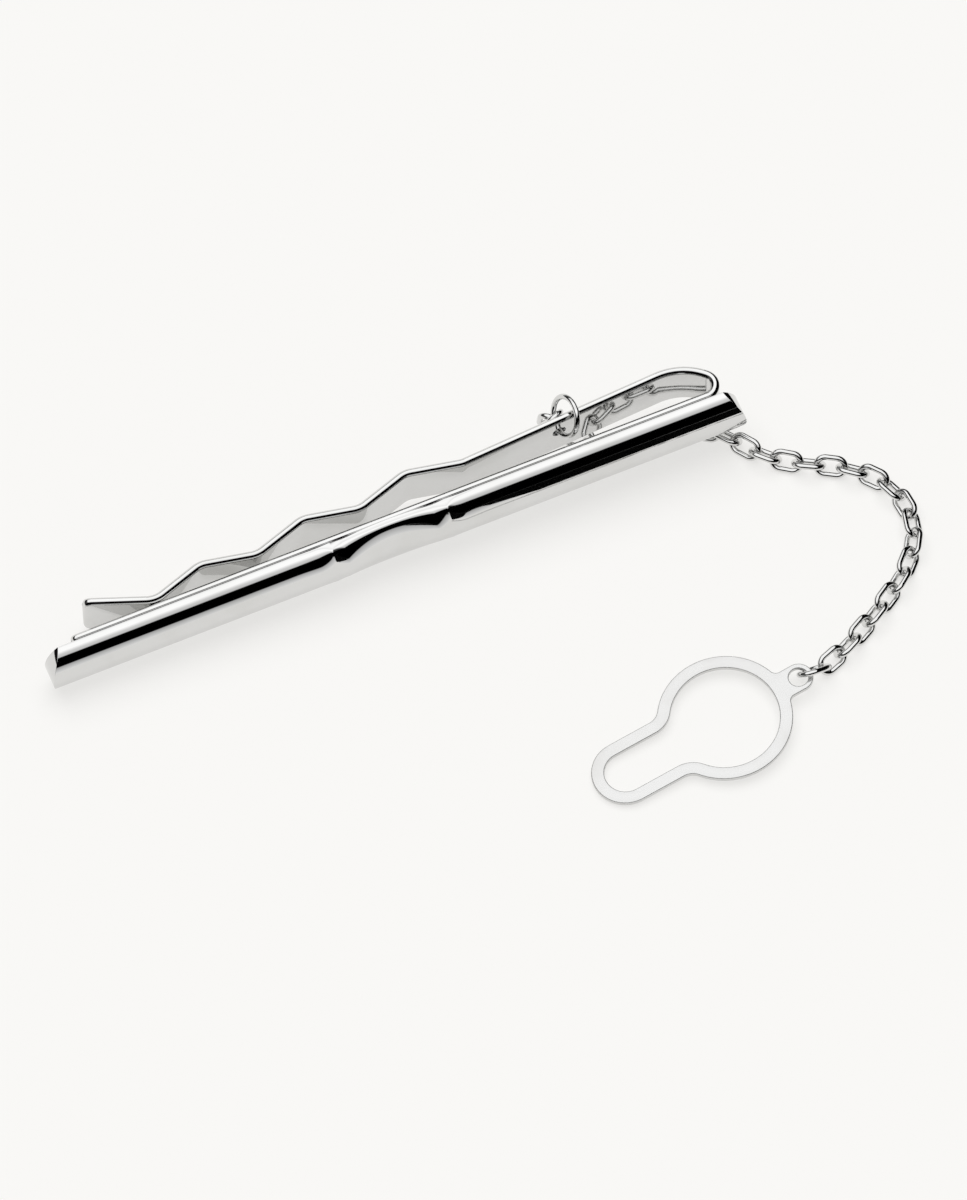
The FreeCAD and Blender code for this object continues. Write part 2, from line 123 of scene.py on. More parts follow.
class NodeBoard:
    """A node tree with short calls for adding and joining nodes."""

    def __init__(self, tree: bpy.types.NodeTree) -> None:
        """Keep the tree and clear it."""
        self.tree = tree
        tree.nodes.clear()

    def add(self, kind: str, place: tuple[float, float] = (0, 0), **values: object) -> bpy.types.Node:
        """Add a node.

        Args:
            kind: The node's type name.
            place: Where it sits in the editor.
            **values: Attributes of the node.

        Returns:
            The new node.
        """
        node = self.tree.nodes.new(kind)
        node.location = place
        for name, value in values.items():
            setattr(node, name, value)
        return node

    def join(self, source: bpy.types.NodeSocket, target: bpy.types.NodeSocket) -> None:
        """Link an output to an input."""
        self.tree.links.new(source, target)

    def math(
        self, operation: str, first: object, second: object = 0.0, clamp: bool = False,
    ) -> bpy.types.NodeSocket:
        """Add a math node.

        Args:
            operation: The node's operation.
            first: A socket or a number.
            second: A socket or a number.
            clamp: Whether the result stays between 0 and 1.

        Returns:
            The node's output.
        """
        node = self.add("ShaderNodeMath", operation=operation, use_clamp=clamp)
        for place, value in enumerate((first, second)):
            if isinstance(value, bpy.types.NodeSocket):
                self.join(value, node.inputs[place])
            else:
                node.inputs[place].default_value = value
        return node.outputs[0]

    def ease(self, value: bpy.types.NodeSocket, low: float, high: float) -> bpy.types.NodeSocket:
        """A smooth step of a value from 0 at low to 1 at high.

        Args:
            value: The value's socket.
            low: Where the step starts.
            high: Where it ends.

        Returns:
            The step's output.
        """
        node = self.add("ShaderNodeMapRange", interpolation_type="SMOOTHSTEP")
        self.join(value, node.inputs["Value"])
        node.inputs["From Min"].default_value = low
        node.inputs["From Max"].default_value = high
        return node.outputs["Result"]


def blank_material(name: str) -> tuple[bpy.types.Material, NodeBoard, bpy.types.Node]:
    """A material with nothing but its output.

    Args:
        name: The material's name.

    Returns:
        The material, its node tree and the output node.
    """
    material = bpy.data.materials.new(name)
    material.use_nodes = True
    board = NodeBoard(material.node_tree)
    return material, board, board.add("ShaderNodeOutputMaterial", (700, 0))


@dataclass(frozen=True)
class PolishingMarks:
    """Fine polishing lines and faint handling smudges, shared by the finishes."""

    line_stretch: tuple[float, float, float] = (0.05, 1.0, 1.0)
    line_scale: float = 9000.0
    line_detail: float = 3.0
    line_step: tuple[float, float] = (0.5, 0.8)
    line_share: float = 0.4
    smudge_scale: float = 160.0
    smudge_detail: float = 4.0
    smudge_roughness: float = 0.6
    smudge_step: tuple[float, float] = (0.42, 0.72)
    smudge_share: float = 0.6
    smooth: float = 0.04
    dull: float = 0.1

    def face(self, group: bpy.types.NodeTree) -> None:
        """Give the group its inputs and outputs."""
        sockets = group.interface
        sockets.new_socket("Vector", in_out="INPUT", socket_type="NodeSocketVector")
        levels = {
            "Line Scale": self.line_scale, "Smudge Scale": self.smudge_scale,
            "Smooth": self.smooth, "Dull": self.dull,
        }
        for name, value in levels.items():
            sockets.new_socket(name, in_out="INPUT", socket_type="NodeSocketFloat").default_value = value
        for name in ("Roughness", "Smudge", "Height"):
            sockets.new_socket(name, in_out="OUTPUT", socket_type="NodeSocketFloat")

    def group(self) -> bpy.types.NodeTree:
        """Build the node group.

        Returns:
            The group, with a roughness, a tint mask and a height.
        """
        group = bpy.data.node_groups.new("polishing_marks", "ShaderNodeTree")
        self.face(group)
        board = NodeBoard(group)
        source = board.add("NodeGroupInput", (-900, 0))
        target = board.add("NodeGroupOutput", (600, 0))
        stretch = board.add("ShaderNodeMapping", (-700, 200))
        stretch.inputs["Scale"].default_value = self.line_stretch
        board.join(source.outputs["Vector"], stretch.inputs["Vector"])
        lines = board.add("ShaderNodeTexNoise", (-500, 200))
        lines.inputs["Detail"].default_value = self.line_detail
        board.join(stretch.outputs["Vector"], lines.inputs["Vector"])
        board.join(source.outputs["Line Scale"], lines.inputs["Scale"])
        smudge = board.add("ShaderNodeTexNoise", (-500, -200))
        smudge.inputs["Detail"].default_value = self.smudge_detail
        smudge.inputs["Roughness"].default_value = self.smudge_roughness
        board.join(source.outputs["Vector"], smudge.inputs["Vector"])
        board.join(source.outputs["Smudge Scale"], smudge.inputs["Scale"])
        mask = board.ease(smudge.outputs["Fac"], *self.smudge_step)
        fine = board.ease(lines.outputs["Fac"], *self.line_step)
        worn = board.math("MULTIPLY", mask, self.smudge_share)
        both = board.math("ADD", worn, board.math("MULTIPLY", fine, self.line_share), clamp=True)
        mix = board.add("ShaderNodeMix", (300, 0), data_type="FLOAT")
        board.join(both, mix.inputs["Factor"])
        board.join(source.outputs["Smooth"], mix.inputs["A"])
        board.join(source.outputs["Dull"], mix.inputs["B"])
        board.join(mix.outputs["Result"], target.inputs["Roughness"])
        board.join(mask, target.inputs["Smudge"])
        board.join(lines.outputs["Fac"], target.inputs["Height"])
        return group


@dataclass(frozen=True)
class Finish:
    """A metal finish: its colours, its gloss and the marks of its making."""

    name: str
    slot: Slot
    clean: tuple[float, float, float]
    handled: tuple[float, float, float]
    smooth: float
    dull: float
    line_scale: float
    line_height: float
    line_strength: float = 0.5

    def material(self, marks: bpy.types.NodeTree) -> bpy.types.Material:
        """Build the material.

        Args:
            marks: The shared group of polishing marks.

        Returns:
            The material.
        """
        material, board, output = blank_material(self.name)
        shader = board.add("ShaderNodeBsdfPrincipled", (400, 0))
        shader.inputs["Metallic"].default_value = 1.0
        board.join(shader.outputs["BSDF"], output.inputs["Surface"])
        where = board.add("ShaderNodeTexCoord", (-700, 0))
        group = board.add("ShaderNodeGroup", (-400, 0), node_tree=marks)
        board.join(where.outputs["Object"], group.inputs["Vector"])
        group.inputs["Line Scale"].default_value = self.line_scale
        group.inputs["Smooth"].default_value = self.smooth
        group.inputs["Dull"].default_value = self.dull
        tint = board.add("ShaderNodeMix", (100, 200), data_type="RGBA")
        tint.inputs["A"].default_value = (*self.clean, 1)
        tint.inputs["B"].default_value = (*self.handled, 1)
        board.join(group.outputs["Smudge"], tint.inputs["Factor"])
        board.join(tint.outputs["Result"], shader.inputs["Base Color"])
        board.join(group.outputs["Roughness"], shader.inputs["Roughness"])
        bump = board.add("ShaderNodeBump", (100, -200))
        bump.inputs["Strength"].default_value = self.line_strength
        bump.inputs["Distance"].default_value = self.line_height
        board.join(group.outputs["Height"], bump.inputs["Height"])
        board.join(bump.outputs["Normal"], shader.inputs["Normal"])
        return material


POLISHED = Finish(
    name="polished_silver", slot=Slot.POLISHED, clean=(0.7, 0.7, 0.695), handled=(0.67, 0.67, 0.66),
    smooth=0.025, dull=0.06, line_scale=9000.0, line_height=0.0000006,
)
SATIN = Finish(
    name="satin_silver", slot=Slot.SATIN, clean=(0.66, 0.66, 0.655), handled=(0.635, 0.63, 0.62),
    smooth=0.26, dull=0.36, line_scale=14000.0, line_height=0.000002,
)


# Mesh helpers


def shown(name: str, mesh: bmesh.types.BMesh) -> bpy.types.Object:
    """Put a mesh into the scene as an object, and free it.

    Args:
        name: The object's name.
        mesh: The mesh.

    Returns:
        The object.
    """
    data = bpy.data.meshes.new(name)
    mesh.to_mesh(data)
    mesh.free()
    item = bpy.data.objects.new(name, data)
    bpy.context.scene.collection.objects.link(item)
    return item


@dataclass
class Workshop:
    """What every piece is made with: the two finishes."""

    polished: bpy.types.Material
    satin: bpy.types.Material

    def piece(
        self, name: str, mesh: bmesh.types.BMesh, finish: Finish, sharp: float, node: str, place: Matrix,
    ) -> bpy.types.Object:
        """Turn a mesh into a dressed piece that stands for a solid of the frame.

        Args:
            name: The piece's name.
            mesh: Its mesh, which is freed.
            finish: Its finish.
            sharp: The angle in degrees past which an edge stays sharp.
            node: The solid that it stands for.
            place: A last transform of the mesh.

        Returns:
            The piece, not yet riding on a body.
        """
        bmesh.ops.transform(mesh, matrix=place, verts=mesh.verts)
        item = shown(name, mesh)
        item.data.shade_smooth()
        item.data.set_sharp_from_angle(angle=math.radians(sharp))
        item.data.materials.append(self.polished if finish is POLISHED else self.satin)
        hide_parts(node)
        LOG.info("%s: %d faces", name, len(item.data.polygons))
        return item


def even_normals(item: bpy.types.Object) -> None:
    """Let the large faces set the shading of a piece with small rounded edges."""
    weigh = item.modifiers.new("even_normals", "WEIGHTED_NORMAL")
    weigh.keep_sharp = True
    weigh.weight = NORMAL_WEIGHT


def close_up(mesh: bmesh.types.BMesh, gap: float) -> None:
    """Merge doubled vertices and turn all faces outwards."""
    bmesh.ops.remove_doubles(mesh, verts=mesh.verts, dist=gap)
    bmesh.ops.recalc_face_normals(mesh, faces=mesh.faces)


def soften(mesh: bmesh.types.BMesh, edges: Iterable[bmesh.types.BMEdge], width: float, steps: int) -> None:
    """Round edges of a mesh."""
    bmesh.ops.bevel(
        mesh, geom=list(edges), offset=width, offset_type="OFFSET", affect="EDGES", segments=steps,
        profile=0.5, material=-1, clamp_overlap=True,
    )


def corners(mesh: bmesh.types.BMesh, least: float) -> list[bmesh.types.BMEdge]:
    """The edges at which two faces meet at more than an angle.

    Args:
        mesh: The mesh.
        least: The angle in degrees.

    Returns:
        The edges.
    """
    return [
        edge for edge in mesh.edges
        if len(edge.link_faces) == 2 and edge.calc_face_angle(0.0) > math.radians(least)
    ]


def fed(
    mesh: bmesh.types.BMesh, edges: list[bmesh.types.BMEdge], way: Vector,
) -> tuple[list[bmesh.types.BMEdge], list[bmesh.types.BMVert]]:
    """Feed the open end of a mesh straight on.

    Args:
        mesh: The mesh.
        edges: The edges of the open end.
        way: How far, and which way.

    Returns:
        The edges and the vertices of the new open end.
    """
    grown = bmesh.ops.extrude_edge_only(mesh, edges=edges)["geom"]
    fresh = {item for item in grown if isinstance(item, bmesh.types.BMVert)}
    bmesh.ops.translate(mesh, verts=list(fresh), vec=way)
    ends = [
        item for item in grown
        if isinstance(item, bmesh.types.BMEdge) and all(vert in fresh for vert in item.verts)
    ]
    return ends, list(fresh)


def swung(
    mesh: bmesh.types.BMesh, geom: list[bmesh.types.BMEdge | bmesh.types.BMVert], centre: Vector,
    angle: float, steps: int,
) -> list[bmesh.types.BMEdge | bmesh.types.BMVert]:
    """Feed the open end of a mesh round an upright axis.

    Args:
        mesh: The mesh.
        geom: The edges or the vertex of the open end.
        centre: A point of the axis.
        angle: The turn in radians.
        steps: How many facets the turn has.

    Returns:
        The edges of the new open end, or its vertex where there are no edges.
    """
    edges = [item for item in geom if isinstance(item, bmesh.types.BMEdge)]
    moved = edges + list({vert for edge in edges for vert in edge.verts}) if edges else geom
    made = bmesh.ops.spin(
        mesh, geom=moved, cent=centre, axis=UP, dvec=(0, 0, 0), angle=angle, steps=steps, use_merge=False,
        use_duplicate=False,
    )["geom_last"]
    kind = bmesh.types.BMEdge if edges else bmesh.types.BMVert
    return [item for item in made if isinstance(item, kind)]


# Bar


@dataclass(frozen=True)
class Section:
    """Half of the bar's section: a nose, a flank and a shoulder, three arcs end to end, in millimetres."""

    centre: float
    nose: float
    flank: float
    shoulder: float
    turns: tuple[float, float, float] = (*ARC_TURNS, 85.0)

    def ends(self) -> list[tuple[float, float]]:
        """The depth and the height at which each arc ends."""
        spots = []
        deep, high, last = self.centre + self.nose, 0.0, 0.0
        for radius, turn in zip((self.nose, self.flank, self.shoulder), map(math.radians, self.turns)):
            deep += radius * (math.cos(turn) - math.cos(last))
            high += radius * (math.sin(turn) - math.sin(last))
            spots.append((deep, high))
            last = turn
        return spots

    def depth(self, share: float) -> float:
        """The depth of the front at a height.

        Args:
            share: The height as a share of the section's half width.

        Returns:
            The depth from the flat back.
        """
        spots = self.ends()
        level = abs(share) * spots[-1][1]
        for radius, turn, (deep, high) in zip((self.nose, self.flank, self.shoulder), self.turns, spots):
            if level <= high:
                break
        bend = math.radians(turn)
        rise = level - high + radius * math.sin(bend)
        return deep - radius * math.cos(bend) + math.sqrt(max(0.0, radius ** 2 - rise ** 2))

    def half(self) -> float:
        """Half the section's width."""
        return self.ends()[-1][1]


@dataclass
class Bar:
    """The half-round front bar with two ridges and a bead between them, in millimetres."""

    length: float = 65.0
    half_width: float = 2.65
    depth: float = 2.15
    back: float = -0.75
    end_bulge: float = 1.3
    middle: float = -0.4
    bead: float = 4.2
    ridge: float = 5.4
    hollow: float = 6.8
    hollow_share: float = 0.3
    rise_power: float = 1.2
    fade: float = 9.0
    plain: float = 9.6
    edge: float = 0.1
    edge_steps: int = 3
    rim_angle: float = 40.0
    rim_slack: float = 0.001
    end_slack: float = 0.1
    sharp: float = 50.0
    step: float = 0.06
    facets: int = 90
    bead_form: Section = Section(centre=-2.04, nose=3.886, flank=1.35, shoulder=0.8)
    ridge_form: Section = Section(centre=-1.41, nose=3.51, flank=1.2, shoulder=0.9)
    waist_form: Section = Section(centre=-0.1, nose=2.26, flank=3.9, shoulder=1.6)

    def radius(self) -> float:
        """The radius of the plain half-round."""
        return (self.half_width ** 2 + self.depth ** 2) / (2 * self.depth)

    def plain_form(self) -> Section:
        """The plain half-round as a section."""
        radius = self.radius()
        limit = math.degrees(math.asin(self.half_width / radius))
        return Section(self.depth - radius, radius, radius, radius, (*ARC_TURNS, limit))

    def mix(self, place: float) -> dict[Section, float]:
        """The forms that make up the section at a place: plain, hollow, ridge, waist and bead.

        Args:
            place: The distance along the bar from its middle.

        Returns:
            Each form with its share.
        """
        run = abs(place - self.middle)
        plain = self.plain_form()
        if run <= self.bead:
            bow = 1 - (run / self.bead) ** 2
            return {self.waist_form: 1 - bow, self.bead_form: bow}
        if run <= self.ridge:
            near = ((run - self.bead) / (self.ridge - self.bead)) ** self.rise_power
            return {self.waist_form: 1 - near, self.ridge_form: near}
        past = min(1.0, (run - self.ridge) / (self.hollow - self.ridge))
        drawn = past if run < self.hollow else max(0.0, (self.fade - run) / (self.fade - self.hollow))
        drawn = drawn * drawn * (3 - 2 * drawn) * self.hollow_share
        near = (1 - past) ** 2
        return {plain: (1 - drawn) * (1 - near), self.waist_form: drawn * (1 - near), self.ridge_form: near}

    def half(self, place: float) -> float:
        """Half the bar's width at a place."""
        return sum(form.half() * share for form, share in self.mix(place).items())

    def front(self, place: float, level: float) -> float:
        """The depth of the bar at a place and a level, which is a share of half the width."""
        return sum(form.depth(level) * share for form, share in self.mix(place).items())

    def surface(self, place: float, share: float) -> tuple[float, float]:
        """A point of the bar's surface.

        Args:
            place: The distance along the bar from its middle.
            share: The share of the way round from the upper edge to the lower.

        Returns:
            Its Y and Z.
        """
        limit = math.atan2(self.half_width, self.radius() - self.depth)
        level = self.radius() * math.sin(limit * (1 - 2 * share)) / self.half_width
        level = min(1.0, max(-1.0, level))
        deep = self.front(place, level) if abs(level) <= 1 - RIM_SHARE else 0.0
        return self.back - deep, level * self.half(place)

    def stations(self) -> list[float]:
        """Places along the bar, close together at the ornament."""
        count = round(2 * self.plain / self.step)
        inner = [-self.plain + self.step * number for number in range(count + 1)]
        half = self.length / 2
        return [-half] + inner + [half]

    def end_sag(self, height: float) -> float:
        """How far a rounded end falls back at a height above the bar's middle line."""
        radius = (self.half_width ** 2 + self.end_bulge ** 2) / (2 * self.end_bulge)
        level = min(abs(height), self.half_width)
        return radius - math.sqrt(radius * radius - level * level)

    def mesh(self) -> bmesh.types.BMesh:
        """Extrude the half-round along the bar and raise the ornament.

        Returns:
            The mesh in millimetres, not tipped.
        """
        radius = self.radius()
        axis = self.back - self.depth + radius
        swing = 2 * math.atan2(self.half_width, radius - self.depth)
        places = self.stations()
        bm = bmesh.new()
        top = bm.verts.new((places[0], self.back, self.half_width))
        bmesh.ops.spin(
            bm, geom=[top], cent=(places[0], axis, 0), axis=(1, 0, 0), dvec=(0, 0, 0), angle=swing,
            steps=self.facets, use_merge=False, use_duplicate=False,
        )
        arc = list(bm.edges)
        share = bm.verts.layers.float.new("share")
        for vert in bm.verts:
            turn = math.atan2(vert.co.z, axis - vert.co.y)
            vert[share] = 0.5 - turn / swing
        copy = bmesh.ops.duplicate(bm, geom=list(bm.verts) + arc)["geom"]
        flat = [item for item in copy if isinstance(item, bmesh.types.BMEdge)]
        for vert in (item for item in copy if isinstance(item, bmesh.types.BMVert)):
            vert.co.y = self.back
            vert[share] = -1.0
        bmesh.ops.bridge_loops(bm, edges=arc + flat)
        rim = arc + flat
        for before, after in zip(places, places[1:]):
            rim, _ = fed(bm, rim, Vector((after - before, 0, 0)))
        bmesh.ops.bridge_loops(bm, edges=rim)
        for vert in bm.verts:
            self.shape(vert, vert[share])
        close_up(bm, BAR_GAP)
        rims = [edge for edge in corners(bm, self.rim_angle) if self.at_rim(edge)]
        soften(bm, rims, self.edge, self.edge_steps)
        close_up(bm, BAR_GAP)
        return bm

    def at_rim(self, edge: bmesh.types.BMEdge) -> bool:
        """Whether an edge lies on the flat back or on a rounded end."""
        on_back = all(vert.co.y > self.back - self.rim_slack for vert in edge.verts)
        return on_back or all(abs(vert.co.x) > self.plain + self.end_slack for vert in edge.verts)

    def shape(self, vert: bmesh.types.BMVert, share: float) -> None:
        """Move one vertex to the ornament and the rounded end.

        Args:
            vert: The vertex.
            share: Its share of the way round, negative on the flat back.
        """
        if share >= 0:
            vert.co.y, vert.co.z = self.surface(vert.co.x, share)
        else:
            vert.co.z *= self.half(vert.co.x) / self.half_width
        if abs(vert.co.x) > self.plain + self.step:
            sag = self.end_sag(vert.co.z)
            vert.co.x = math.copysign(abs(vert.co.x) - sag, vert.co.x)

    def build(self, shop: Workshop) -> None:
        """Make the bar and let it ride on the clip's front."""
        place = CLIP @ Matrix.Scale(MM, 4)
        item = shop.piece("bar_polished", self.mesh(), POLISHED, self.sharp, "bar", place)
        even_normals(item)
        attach(item, Body.FRONT.value)


# Bent strip


class Bender:
    """Feeds a section forward in straight runs and turns, as a bending jig does, in millimetres."""

    def __init__(self, start: Vector, heading: float, thick: float, wide: float, edge: float) -> None:
        """Set the section, a rectangle with rounded corners.

        Args:
            start: The middle of the section.
            heading: The direction of feed in degrees in the level plane.
            thick: The section's size across the feed in the level plane.
            wide: The section's upright size.
            edge: The radius of its corners.
        """
        self.bm = bmesh.new()
        self.place = start.copy()
        self.heading = math.radians(heading)
        self.edge = edge
        inner = self.left() * (thick / 2 - edge)
        rise = UP * (wide / 2 - edge)
        ring = []
        for quarter, (side, level) in enumerate(((1, 1), (-1, 1), (-1, -1), (1, -1))):
            corner = start + inner * side + rise * level
            points = []
            for step in range(EDGE_STEPS + 1):
                swing = math.pi / 2 * (quarter % 2 + (-1) ** (quarter % 2) * step / EDGE_STEPS)
                across = self.left() * (side * math.cos(swing) ** (2 / EDGE_POWER))
                above = UP * (level * math.sin(swing) ** (2 / EDGE_POWER))
                points.append(corner + (across + above) * edge)
            guard = corner + self.left() * (side * edge) - UP * (level * EDGE_GUARD)
            points.insert(len(points) * (quarter % 2), guard)
            ring.extend(self.bm.verts.new(point) for point in points)
        self.front = [
            self.bm.edges.new((ring[number - 1], ring[number])) for number in range(len(ring))
        ]
        self.first = list(self.front)

    def left(self) -> Vector:
        """The level direction to the left of the feed."""
        return Vector((-math.sin(self.heading), math.cos(self.heading), 0))

    def ahead(self) -> Vector:
        """The direction of feed."""
        return Vector((math.cos(self.heading), math.sin(self.heading), 0))

    def run(self, length: float) -> list[bmesh.types.BMVert]:
        """Feed straight on.

        Args:
            length: How far.

        Returns:
            The vertices of the new open end.
        """
        self.front, fresh = fed(self.bm, self.front, self.ahead() * length)
        self.place += self.ahead() * length
        return fresh

    def turn(self, angle: float, radius: float, steps: int) -> None:
        """Feed round a bend.

        Args:
            angle: The turn in degrees, to the left if positive.
            radius: The bend's radius at the middle of the section.
            steps: How many facets the bend has.
        """
        side = math.copysign(1.0, angle)
        centre = self.place + self.left() * (radius * side)
        swing = math.radians(angle)
        self.front = swung(self.bm, self.front, centre, swing, steps)
        self.place = centre + Matrix.Rotation(swing, 3, "Z") @ (self.place - centre)
        self.heading += swing

    def nose(self, radius: float, steps: int) -> None:
        """Feed on to a free end with two rounded corners and rounded edges.

        Args:
            radius: The corners' radius, which is also how far the nose reaches.
            steps: How many facets the rounding has.
        """
        taken = 0.0
        thinned = 0.0
        gone = 0.0
        for number in range(1, steps + 1):
            reach = radius * math.sin(math.pi / 2 * number / steps)
            fresh = self.run(reach - gone)
            gone = reach
            narrow = radius - math.sqrt(max(0.0, radius ** 2 - reach ** 2))
            into = max(0.0, reach - radius + self.edge)
            thin = self.edge - math.sqrt(max(0.0, self.edge ** 2 - into ** 2))
            for vert in fresh:
                across = (vert.co - self.place).dot(self.left())
                vert.co.z -= math.copysign(narrow - taken, vert.co.z)
                vert.co -= self.left() * math.copysign(thin - thinned, across)
            taken = narrow
            thinned = thin

    def cap(self) -> bmesh.types.BMesh:
        """Close both ends and hand over the mesh."""
        bmesh.ops.contextual_create(self.bm, geom=self.first)
        bmesh.ops.contextual_create(self.bm, geom=self.front)
        close_up(self.bm, FINE_GAP)
        return self.bm


@dataclass
class SpringStrip:
    """The strip of spring metal: a straight front leg, a bend and a wavy rear leg, in millimetres."""

    width: float = 5.0
    thick: float = 0.75
    left_end: float = -29.8
    bend_centre: tuple[float, float] = (29.865, 0.785)
    bend_radius: float = 1.16
    bend_turn: float = 136.0
    shoulder_radius: float = 5.5
    first_trough: float = 7.88
    wave_pitch: float = 9.85
    wave_depth: float = 1.32
    wave_radius: float = 2.2
    waves: int = 3
    tongue_length: float = 5.8
    tongue_flare: float = 2.65
    front_corner: float = 0.6
    tongue_corner: float = 0.8
    ring_place: float = 17.0
    ring_hole: float = 0.64
    hole_rise: float = 0.77
    edge: float = 0.27
    sharp: float = 40.0
    bend_steps: int = 110
    wave_steps: int = 40
    first_steps: int = 24
    nose_steps: int = 12
    hole_steps: int = 48
    leg_start: Vector = field(default_factory=Vector)

    def jig(self, start: Vector, heading: float) -> Bender:
        """A bending jig set for the strip's section."""
        return Bender(start, heading, self.thick, self.width, self.edge)

    def front_leg(self) -> bmesh.types.BMesh:
        """The straight leg behind the bar, from the bend to its free end."""
        jig = self.jig(Vector((self.bend_centre[0], -self.thick / 2, 0)), 180.0)
        jig.run(self.bend_centre[0] - self.left_end - self.front_corner)
        jig.nose(self.front_corner, self.nose_steps)
        return jig.cap()

    def bend(self) -> bmesh.types.BMesh:
        """The bend at the right end, which sets where the rear leg starts."""
        jig = self.jig(Vector((self.bend_centre[0], -self.thick / 2, 0)), 0.0)
        jig.turn(self.bend_turn, self.bend_radius, self.bend_steps)
        jig.turn(180 + LEG_SLOPE - self.bend_turn, self.shoulder_radius, self.wave_steps)
        self.leg_start = jig.place.copy()
        return jig.cap()

    def rear_leg(self) -> bmesh.types.BMesh:
        """The sprung leg with its waves and its flared tongue."""
        jig = self.jig(self.leg_start, 180 + LEG_SLOPE)
        slope = math.atan2(self.wave_depth, self.wave_pitch / 2)
        flare = math.atan2(self.tongue_flare, self.tongue_length)
        first = (self.first_trough - self.leg_start.x) / math.cos(math.radians(180 + LEG_SLOPE))
        slant = math.hypot(self.wave_depth, self.wave_pitch / 2)
        out = -1.0
        small = self.wave_radius * math.tan(slope / 2)
        large = self.wave_radius * math.tan(slope)
        jig.run(first - small)
        jig.turn(math.degrees(slope) * out, self.wave_radius, self.first_steps)
        trim = small
        for count in range(self.waves):
            jig.run(slant - trim - large)
            jig.turn(-2 * math.degrees(slope) * out, self.wave_radius, self.wave_steps)
            last = count == self.waves - 1
            swing = slope + (flare if last else slope)
            trim = self.wave_radius * math.tan(swing / 2)
            jig.run(slant - large - trim)
            jig.turn(math.degrees(swing) * out, self.wave_radius, self.wave_steps)
        jig.run(math.hypot(self.tongue_length, self.tongue_flare) - trim - self.tongue_corner)
        jig.nose(self.tongue_corner, self.nose_steps)
        return jig.cap()

    def pierced(self, item: bpy.types.Object) -> None:
        """Cut the ring's hole through the rear leg.

        Args:
            item: The rear leg's piece.
        """
        heading = math.radians(180 + LEG_SLOPE)
        run = (self.ring_place - self.leg_start.x) / math.cos(heading)
        seat = self.leg_start + Vector((math.cos(heading), math.sin(heading), 0)) * run + UP * self.hole_rise
        bm = bmesh.new()
        bmesh.ops.create_cone(
            bm, cap_ends=True, segments=self.hole_steps, radius1=self.ring_hole, radius2=self.ring_hole,
            depth=4 * self.thick,
        )
        turn = Matrix.Rotation(heading, 4, "Z") @ Matrix.Rotation(math.pi / 2, 4, "X")
        place = CLIP @ Matrix.Scale(MM, 4) @ Matrix.Translation(seat) @ turn
        bmesh.ops.transform(bm, matrix=place, verts=bm.verts)
        drill = shown("ring_hole", bm)
        bore = item.modifiers.new("ring_hole", "BOOLEAN")
        bore.object = drill
        bore.solver = "EXACT"
        bpy.context.view_layer.update()
        seen = item.evaluated_get(bpy.context.evaluated_depsgraph_get())
        cut = bpy.data.meshes.new_from_object(seen)
        item.modifiers.clear()
        item.data = cut
        bpy.data.objects.remove(drill)

    def build(self, shop: Workshop) -> None:
        """Make the three lengths of the strip and let the two legs ride on their bodies."""
        place = CLIP @ Matrix.Scale(MM, 4)
        lengths = {}
        for node, mesh in (
            ("front_leg", self.front_leg()), ("spring_bend", self.bend()), ("rear_leg", self.rear_leg()),
        ):
            item = shop.piece(f"{node}_polished", mesh, POLISHED, self.sharp, node, place)
            if node == "rear_leg":
                self.pierced(item)
            even_normals(item)
            lengths[node] = item
        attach(lengths["front_leg"], Body.FRONT.value)
        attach(lengths["rear_leg"], Body.REAR.value)
        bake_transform(lengths["spring_bend"])


# Rings and chain


@dataclass
class WireRing:
    """A closed ring of round wire, round or oval, in millimetres."""

    length: float
    width: float
    wire: float
    round_steps: int = 28
    wire_steps: int = 20

    def mesh(self) -> bmesh.types.BMesh:
        """Sweep the wire's circle round the ring, long along X.

        Returns:
            The mesh about the origin.
        """
        bend = (self.width - self.wire) / 2
        half = (self.length - self.width) / 2
        bm = bmesh.new()
        bmesh.ops.create_circle(bm, cap_ends=False, radius=self.wire / 2, segments=self.wire_steps)
        stand = Matrix.Translation((half, -bend, 0)) @ Matrix.Rotation(math.pi / 2, 4, "Y")
        bmesh.ops.transform(bm, matrix=stand, verts=bm.verts)
        if half < WIRE_GAP:
            bmesh.ops.spin(
                bm, geom=list(bm.verts) + list(bm.edges), cent=(0, 0, 0), axis=UP, dvec=(0, 0, 0),
                angle=2 * math.pi, steps=2 * self.round_steps, use_merge=True, use_duplicate=False,
            )
        else:
            front = list(bm.edges)
            for side in (1, -1):
                front = swung(bm, front, Vector((side * half, 0, 0)), math.pi, self.round_steps)
                front, _ = fed(bm, front, Vector((-2 * side * half, 0, 0)))
        close_up(bm, WIRE_GAP)
        return bm


def facing(direction: Vector, roll: float) -> Matrix:
    """A rotation that lays X along a direction and rolls the piece about it.

    Args:
        direction: The direction of X.
        roll: The roll in degrees.

    Returns:
        The rotation.
    """
    ahead = direction.normalized()
    level = UP.cross(ahead).normalized()
    upright = Matrix((ahead, level, ahead.cross(level))).transposed().to_4x4()
    return upright @ Matrix.Rotation(math.radians(roll), 4, "X")


def node_middle(node: str) -> Vector:
    """The middle of a solid's box, in metres."""
    low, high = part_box(node)
    return (low + high) / 2


